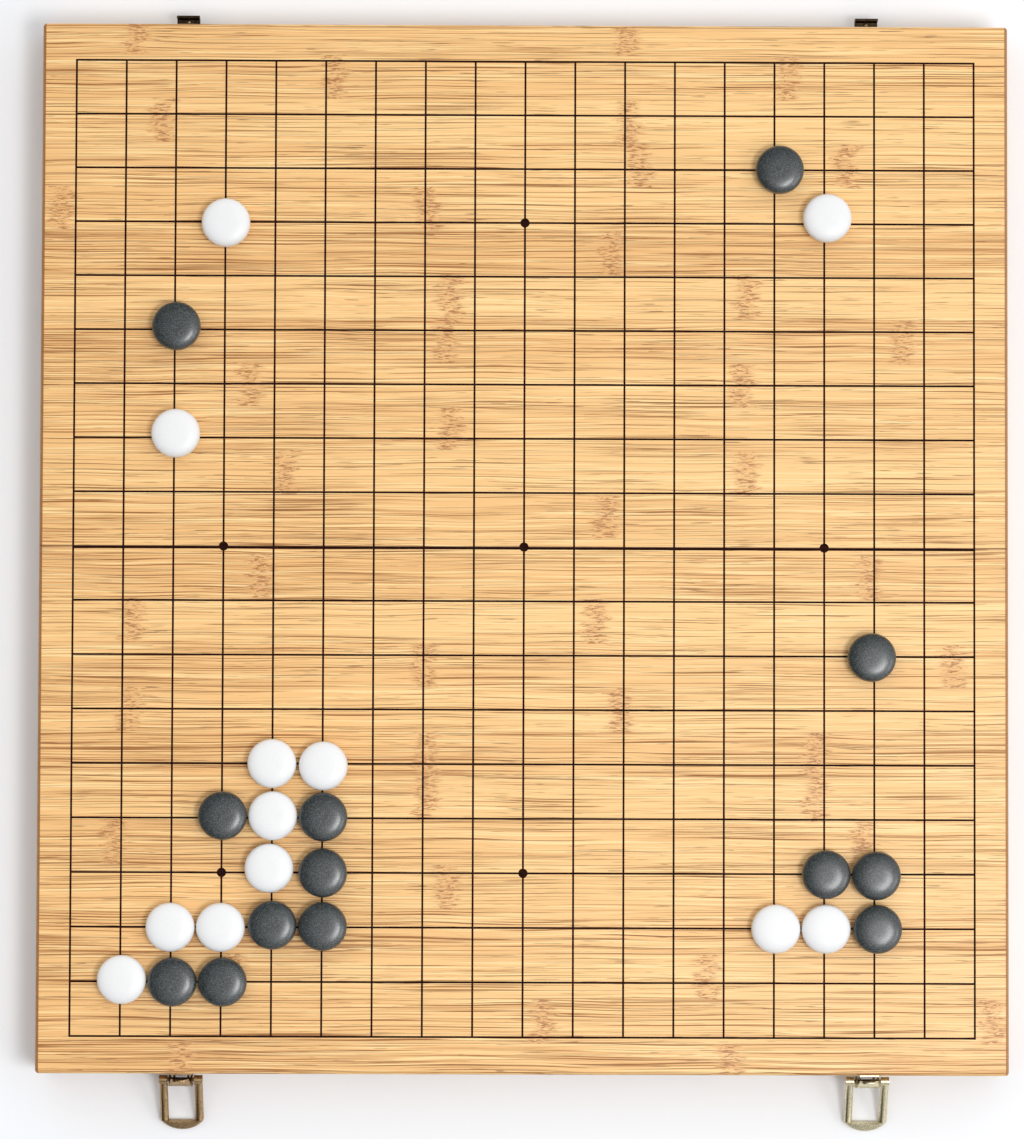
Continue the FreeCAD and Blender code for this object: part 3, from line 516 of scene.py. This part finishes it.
def ruled_lines(half, ink):
    """The net of lines on one half, made as a sheet of cells whose middles are taken out, and the star points.
    The middle line is printed along the front half's own edge."""
    side = 1 if half == "rear" else -1
    rows = LINES // 2
    bm = bmesh.new()
    bmesh.ops.create_grid(bm, x_segments=LINES - 1, y_segments=rows, size=0.5)
    cells = list(bm.faces)
    reach_x = (LINES - 1) * LINE_SPACING_X
    reach_y = rows * LINE_SPACING_Y
    bmesh.ops.scale(bm, vec=(reach_x, reach_y, 1), verts=bm.verts)
    rim = bmesh.ops.extrude_edge_only(bm, edges=[edge for edge in bm.edges if edge.is_boundary])
    rim = only(BMVert, rim["geom"])
    bmesh.ops.scale(bm, vec=(1 + LINE_WIDTH / reach_x, 1 + LINE_WIDTH / reach_y, 1), verts=rim)
    bmesh.ops.translate(bm, vec=(0, SEAM_Y + side * reach_y / 2, FACE_Z + INK_TOP), verts=bm.verts)
    middle_row = [v for v in bm.verts if abs(v.co.y - SEAM_Y) < LINE_WIDTH]
    bmesh.ops.translate(bm, vec=(0, -LINE_WIDTH / 2, 0), verts=middle_row)
    bmesh.ops.inset_individual(bm, faces=cells, thickness=LINE_WIDTH / 2, use_even_offset=True)
    bmesh.ops.delete(bm, geom=cells, context="FACES")
    if half == "front":
        # all of the middle line but its edge at the seam
        inner_rows = [v for v in bm.verts if 0.4 * LINE_WIDTH < SEAM_Y - v.co.y < 1.4 * LINE_WIDTH]
        bmesh.ops.translate(bm, vec=(0, -MIDDLE_LINE_MORE, 0), verts=inner_rows)
    else:
        everything = [*bm.verts, *bm.edges, *bm.faces]
        bmesh.ops.bisect_plane(bm, geom=everything, plane_co=(0, SEAM_Y, 0), plane_no=(0, -1, 0), clear_outer=True)
    sheet = bmesh.ops.extrude_face_region(bm, geom=list(bm.faces), use_keep_orig=True)
    bmesh.ops.translate(bm, vec=(0, 0, INK_GAP - INK_TOP), verts=only(BMVert, sheet["geom"]))
    for row in STAR_ROWS[half]:
        for column in STAR_COLUMNS:
            y = SEAM_Y + row * LINE_SPACING_Y
            spot = Matrix.Translation((column * LINE_SPACING_X, y, FACE_Z + INK_GAP + INK_TOP / 2))
            dot = bmesh.ops.create_cone(bm, cap_ends=True, segments=32, radius1=STAR_RADIUS, radius2=STAR_RADIUS,
                                        depth=INK_TOP, matrix=spot)
            if row == 0:
                cut_off(bm, dot["verts"], (0, SEAM_Y, 0), (0, -side, 0))
    name = half + "_ruled_lines"
    as_piece(name, from_bmesh(name, bm), half + "_half", ink)


# ---------------------------------------------------------------- stones

STONE_FULLNESS = 3.2             # 2 is an ellipse; more gives a flatter top and a fuller rim
STONE_RINGS = 28                 # from pole to pole
STONE_TURNS = 48


def stone_mesh(radius, half_height):
    """A biconvex stone about the origin: a superellipse spun about Z."""
    bm = bmesh.new()
    profile = []
    for ring in range(STONE_RINGS + 1):
        turn = math.pi * (ring / STONE_RINGS - 0.5)
        across, up = math.cos(turn), math.sin(turn)
        out = radius * max(across, 0) ** (2 / STONE_FULLNESS)
        height = half_height * math.copysign(abs(up) ** (2 / STONE_FULLNESS), up)
        profile.append(bm.verts.new((0 if ring in (0, STONE_RINGS) else out, 0, height)))
    edges = [bm.edges.new(pair) for pair in zip(profile, profile[1:])]
    bmesh.ops.spin(bm, geom=profile + edges, cent=(0, 0, 0), axis=(0, 0, 1), angle=2 * math.pi,
                   steps=STONE_TURNS, use_merge=True)
    bmesh.ops.remove_doubles(bm, verts=bm.verts, dist=TOUCHING)
    mesh = bpy.data.meshes.new("one_stone")
    bm.to_mesh(mesh)
    bm.free()
    return mesh


def stones(node, material):
    """Smooth stones where the frame has them, as one piece for each colour and half."""
    boxes = solid_boxes(node)
    low, high = boxes[0]
    pattern = stone_mesh((high.x - low.x) / 2, (high.z - low.z) / 2)
    bm = bmesh.new()
    for low, high in boxes:
        before = len(bm.verts)
        bm.from_mesh(pattern)
        bm.verts.ensure_lookup_table()
        bmesh.ops.translate(bm, vec=(low + high) / 2, verts=bm.verts[before:])
    name = node + "_smooth"
    piece = as_piece(name, from_bmesh(name, bm, smooth_below=180), node + "_lot", material)
    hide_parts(node)


# ---------------------------------------------------------------- eased wood, metal and felt pieces

FACETS_BELOW = 32                # degrees: facets that meet at less than this are one round face
METAL_EASE = 0.12 * MM
LOOP_EASE = 0.15 * MM
FELT_EASE = 0.35 * MM

PLATE = 0.9 * MM                 # how thick a latch's or a hook's plate is on the wall
NAIL_RADIUS = 1.25 * MM
NAIL_HEIGHT = 0.45 * MM
LATCH_LOW_NAIL = 2.3 * MM        # up from the plate's lower edge
LATCH_HIGH_NAIL = 3.5 * MM       # down from the plate's upper edge
HOOK_NAILS_ACROSS = 2.6 * MM     # of the upper two, each way from the hook's middle
HOOK_HIGH_NAILS = 3.2 * MM       # down from the plate's upper edge
HOOK_LOW_NAIL = 2.2 * MM         # up from the plate's lower edge
RIVET_RADIUS = 0.85 * MM
RIVET_HEIGHT = 0.35 * MM
RIVET_OUT = 4.1 * MM             # from the wall
SHELF_TOP = 5.8 * MM             # up from the plate's lower edge

LEAF_DROP = 0.12 * MM            # the leaves' faces lie this far above the rim, and the screw heads fill it
LEAF_FROM_PIN = 0.8 * MM         # a leaf is flat from this far beside its pin
SCREW_RADIUS = 1.8 * MM
SCREW_HEIGHT = 1.2 * LEAF_DROP
SCREW_TAPER = 0.96               # the top's radius for a bottom of 1
SLOT_HALF_WIDTH = 0.16           # for a radius of 1
HINGE_SCREWS = (-13 * MM, 0, 13 * MM)    # from a leaf's middle


def eased(node, body, material, ease, notched=False):
    """A CAD node again, with its edges eased and its round faces smooth. A notched board's hollow faces are cut
    into whole ones first, which the bevel needs."""
    bm = merged_copy(node)
    if notched:
        bmesh.ops.connect_verts_concave(bm, faces=bm.faces)
    name = node + "_eased"
    piece = as_piece(name, from_bmesh(name, bm, FACETS_BELOW), body, material)
    bevel = piece.modifiers.new("eased_edges", "BEVEL")
    bevel.limit_method = "ANGLE"
    bevel.angle_limit = math.radians(FACETS_BELOW)
    bevel.width = ease
    bevel.segments = 2
    bevel.harden_normals = True
    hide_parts(node)


def facing(place, out):
    """The matrix that takes a head from the origin, pointing up, to a place, pointing out."""
    return Matrix.Translation(place) @ Vector(out).to_track_quat("Z", "Y").to_matrix().to_4x4()


def round_head(bm, place, out, radius, height):
    """A low domed nail head, its flat side at a place and its dome pointing out."""
    ball = bmesh.ops.create_uvsphere(bm, u_segments=20, v_segments=12, radius=radius)["verts"]
    dome = cut_off(bm, ball, (0, 0, 0), (0, 0, -1))
    flattened = Matrix.Diagonal((1, 1, height / radius, 1))
    bmesh.ops.transform(bm, matrix=facing(place, out) @ flattened, verts=dome)


def slotted_head(bm, place, out, radius, height):
    """A flat screw head with a slot: two D-shaped lands on a disc of half their height."""
    for floor, side in ((0.5, 0), (1.0, 1), (1.0, -1)):
        disc = bmesh.ops.create_cone(bm, cap_ends=True, segments=24, radius1=radius, radius2=radius * SCREW_TAPER,
                                     depth=height * floor)["verts"]
        bmesh.ops.translate(bm, vec=(0, 0, height * floor / 2), verts=disc)
        if side:
            disc = cut_off(bm, disc, (side * SLOT_HALF_WIDTH * radius, 0, 0), (-side, 0, 0))
        bmesh.ops.transform(bm, matrix=facing(place, out), verts=disc)


def hinge_leaves(half, material):
    """One half's two hinge leaves, with three slotted screws in each, flush with the rim."""
    node = "hinge_" + half + "_leaves"
    low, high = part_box(node)
    side = 1 if half == "rear" else -1
    bm = merged_copy(node)
    leaf_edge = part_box("hinge_pins")[1].y - SEAM_Y + LEAF_FROM_PIN
    face = JOINTS["board_fold"]["pos_m"][2]
    flat = [v for v in bm.verts if side * (v.co.y - SEAM_Y) > leaf_edge and abs(v.co.z - face) < LEAF_DROP / 2]
    bmesh.ops.translate(bm, vec=(0, 0, LEAF_DROP), verts=flat)
    outer = high.y if side > 0 else low.y
    across = (outer + SEAM_Y + side * leaf_edge) / 2
    for low, high in solid_boxes(node):
        for shift in HINGE_SCREWS:
            place = ((low.x + high.x) / 2 + shift, across, face + SCREW_HEIGHT)
            slotted_head(bm, place, (0, 0, -1), SCREW_RADIUS, SCREW_HEIGHT)
    name = node + "_screwed"
    piece = as_piece(name, from_bmesh(name, bm), half + "_half", material)
    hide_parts(node)


def nails(side, material):
    """Round-headed nails in one latch's plate and in its hook's, and the rivet on the hook's shelf."""
    low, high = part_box(side + "_latch_base")
    middle = (low.x + high.x) / 2
    bm = bmesh.new()
    for up in (low.z + LATCH_LOW_NAIL, high.z - LATCH_HIGH_NAIL):
        round_head(bm, (middle, SEAM_Y - HALF_DEPTH - PLATE, up), (0, -1, 0), NAIL_RADIUS, NAIL_HEIGHT)
    name = side + "_latch_nails"
    as_piece(name, from_bmesh(name, bm), "front_half", material)

    low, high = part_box(side + "_catch_hook")
    middle = (low.x + high.x) / 2
    wall = SEAM_Y + HALF_DEPTH
    upper = high.z - HOOK_HIGH_NAILS
    places = ((-HOOK_NAILS_ACROSS, upper), (HOOK_NAILS_ACROSS, upper), (0, low.z + HOOK_LOW_NAIL))
    bm = bmesh.new()
    for across, up in places:
        round_head(bm, (middle + across, wall + PLATE, up), (0, 1, 0), NAIL_RADIUS, NAIL_HEIGHT)
    round_head(bm, (middle, wall + RIVET_OUT, low.z + SHELF_TOP), (0, 0, 1), RIVET_RADIUS, RIVET_HEIGHT)
    name = side + "_hook_nails"
    as_piece(name, from_bmesh(name, bm), "rear_half", material)


# ---------------------------------------------------------------- floor, lights and camera

FLOOR_REACH = 8.0
FLOOR_CLOUDS = (0.4, 0.4)        # how large the paper's faint changes of tone are
ROOM_STRENGTH = 0.9

# The soft boxes: where each hangs, how wide and high it is, and its watts.
LAMPS = {
    "high_soft_box": ((0.88, -0.62, 2.85), (1.0, 0.7), 33),
    "right_soft_box": ((2.6, -1.1, 2.2), (1.6, 1.2), 18),
}

# The room: its bright side, how its light falls off away from there, and its dim tone. Shiny faces mirror a room
# that is dim to the left, and all else is lit by one that is dim at the front.
ROOM_LIGHTING = ((0.05, 0.5, 0.7), (0.0, 0.55), "#5c646f")
ROOM_MIRRORED = ((0.7, -0.3, 0.6), (0.1, 0.95), "#101112")

# The camera looks almost straight down, from two metres up, turned a little about each axis.
CAMERA_PLACE = (-0.01799, -0.09164, 2.00500)
CAMERA_TURN = (0.04634, -0.00645, 0.00367)
IMAGE_WIDTH = 1024
FOCAL_PIXELS = 4500
SENSOR_WIDTH = 36.0


def set_stage():
    """A plain floor of matt white paper, its tone just uneven enough to be seen as one."""
    bm = bmesh.new()
    bmesh.ops.create_grid(bm, x_segments=1, y_segments=1, size=FLOOR_REACH)
    mesh = bpy.data.meshes.new("floor")
    bm.to_mesh(mesh)
    bm.free()
    floor = bpy.data.objects.new("floor", mesh)
    bpy.context.scene.collection.objects.link(floor)
    material, tree, shader, placed = new_material("white_paper_floor")
    set_inputs(shader, {
        "Base Color": painted(tree, linear("#f2f4f7"), (streaks(tree, placed, FLOOR_CLOUDS), "#f5f7fa")),
        "Roughness": 0.9,
        "Specular IOR Level": 0.0,
    })
    mesh.materials.append(material)


def add_lamp(name, place, size, watts):
    """A soft box, aimed at the board."""
    lamp = bpy.data.lights.new(name, "AREA")
    lamp.shape = "RECTANGLE"
    lamp.size, lamp.size_y = size
    lamp.energy = watts
    piece = bpy.data.objects.new(name, lamp)
    bpy.context.scene.collection.objects.link(piece)
    piece.location = place
    piece.rotation_euler = (-piece.location).to_track_quat("-Z", "Y").to_euler()


def room_light(tree, direction, bright_side, limits, dim):
    """A white room that goes dim away from its bright side."""
    side = add(tree, "VectorMath", (direction, bright_side), operation="DOT_PRODUCT")
    brightness = add(tree, "MapRange", (side, *limits), **SMOOTH)
    shade = painted(tree, linear(dim), (brightness, "#ffffff"))
    return add(tree, "Background", {"Color": shade, "Strength": ROOM_STRENGTH})


def set_lights():
    """A wide soft box high at the front right, a broad one to the right, and the room, which is white behind all
    that the camera sees."""
    for name, lamp in LAMPS.items():
        add_lamp(name, *lamp)
    world = bpy.data.worlds.new("white_room")
    bpy.context.scene.world = world
    world.use_nodes = True
    tree = world.node_tree
    tree.nodes.clear()
    direction = add(tree, "TexCoord").outputs["Generated"]
    path = add(tree, "LightPath")
    lighting = room_light(tree, direction, *ROOM_LIGHTING)
    mirrored = room_light(tree, direction, *ROOM_MIRRORED)
    backdrop = add(tree, "Background", {"Color": linear("#ffffff")})
    room = add(tree, "MixShader", (path.outputs["Is Glossy Ray"], lighting, mirrored))
    room = add(tree, "MixShader", (path.outputs["Is Camera Ray"], room, backdrop))
    add(tree, "OutputWorld", {"Surface": room})


def set_camera():
    """The camera, and the plain view of its colours."""
    lens = bpy.data.cameras.new("camera")
    lens.sensor_fit = "HORIZONTAL"
    lens.sensor_width = SENSOR_WIDTH
    lens.lens = FOCAL_PIXELS / IMAGE_WIDTH * SENSOR_WIDTH
    camera = bpy.data.objects.new("camera", lens)
    bpy.context.scene.collection.objects.link(camera)
    camera.rotation_mode = "ZYX"
    camera.rotation_euler = CAMERA_TURN
    camera.location = CAMERA_PLACE
    bpy.context.scene.camera = camera
    bpy.context.scene.view_settings.view_transform = "Standard"


def main():
    face = playing_face_bamboo()
    case_along_x = bamboo("bamboo_case_along_x", CASE_TONES, UPRIGHT_ALONG_X)[0]
    case_along_y = bamboo("bamboo_case_along_y", CASE_TONES, UPRIGHT_ALONG_Y)[0]
    board = bamboo("bamboo_board", BOARD_TONES, roughness=0.55)[0]
    ink = printed_ink()
    felt = pressed_felt()
    white = pressed_glass("pressed_white_glass", "#ebebeb", "#f0f0f0", roughness=0.45, polish=0.2)
    black = pressed_glass("pressed_black_glass", "#212627", "#555d5f", roughness=0.42, polish=0.8)
    brass = antique_metal("aged_brass_hinge", "#a58a55", "#5e4a2c", tarnish_from=0.45)
    # one bronze in two copies: the left latch's darker and browner as painted shade, the right latch's paler as
    # painted light
    shaded_left_bronze = antique_metal("bronze_painted_shade_left", "#cfb184", "#7b5e40", tarnish_from=0.46)
    lit_right_bronze = antique_metal("bronze_painted_light_right", "#f2e9c9", "#b3a680", tarnish_from=0.48)
    hook_bronze = antique_metal("dark_antique_bronze_hook", "#6f5c45", "#3b2f22", tarnish_from=0.4)
    nail_brass = antique_metal("rubbed_brass_nail", "#d9c4a4", "#8a7350", tarnish_from=0.5)
    pin_steel = antique_metal("darkened_steel_pin", "#6d665c", "#332d27", tarnish_from=0.5)

    kept_wood = {
        "playing_panel": face, "seam_wall": case_along_x, "outer_wall": case_along_x,
        "side_wall": case_along_y, "cross_wall": case_along_y,
        "drawer_guides": case_along_x, "drawer_stops": case_along_x,
    }
    # with the slot, and how far the edges are eased
    eased_wood = {
        "mouth_wall": (case_along_y, "bamboo_case", 0.4 * MM), "base_panel": (board, "bamboo_ply", 0.3 * MM),
    }
    eased_drawer = {
        "drawer_front": (case_along_y, 0.5 * MM), "drawer_sides": (case_along_x, 0.4 * MM),
        "drawer_back": (case_along_y, 0.4 * MM), "drawer_bottom": (board, 0.3 * MM),
    }
    for half in HALVES:
        for part, material in kept_wood.items():
            finish(NODES[half + "_" + part], material)
        for part, (material, slot, ease) in eased_wood.items():
            eased(half + "_" + part, half + "_half", material, ease)
        for part, (material, ease) in eased_drawer.items():
            eased(half + "_" + part, half + "_drawer", material, ease,
                  notched=part == "drawer_front")
        eased(half + "_felt_pads", half + "_half", felt, FELT_EASE)
        ruled_lines(half, ink)
        stones("white_stones_" + half, white)
        stones("black_stones_" + half, black)
        hinge_leaves(half, brass)
    finish(NODES["hinge_pins"], brass)
    for side, bronze in zip(SIDES, (shaded_left_bronze, lit_right_bronze)):
        eased(side + "_latch_base", "front_half", bronze, METAL_EASE)
        eased(side + "_latch_lever", side + "_lever", bronze, METAL_EASE)
        eased(side + "_latch_loop", side + "_loop", bronze, LOOP_EASE)
        eased(side + "_catch_hook", "rear_half", hook_bronze, METAL_EASE)
        nails(side, nail_brass)
        finish(NODES[side + "_lever_pin"], pin_steel)
        finish(NODES[side + "_loop_pin"], pin_steel)

    set_stage()
    set_lights()
    set_camera()


main()
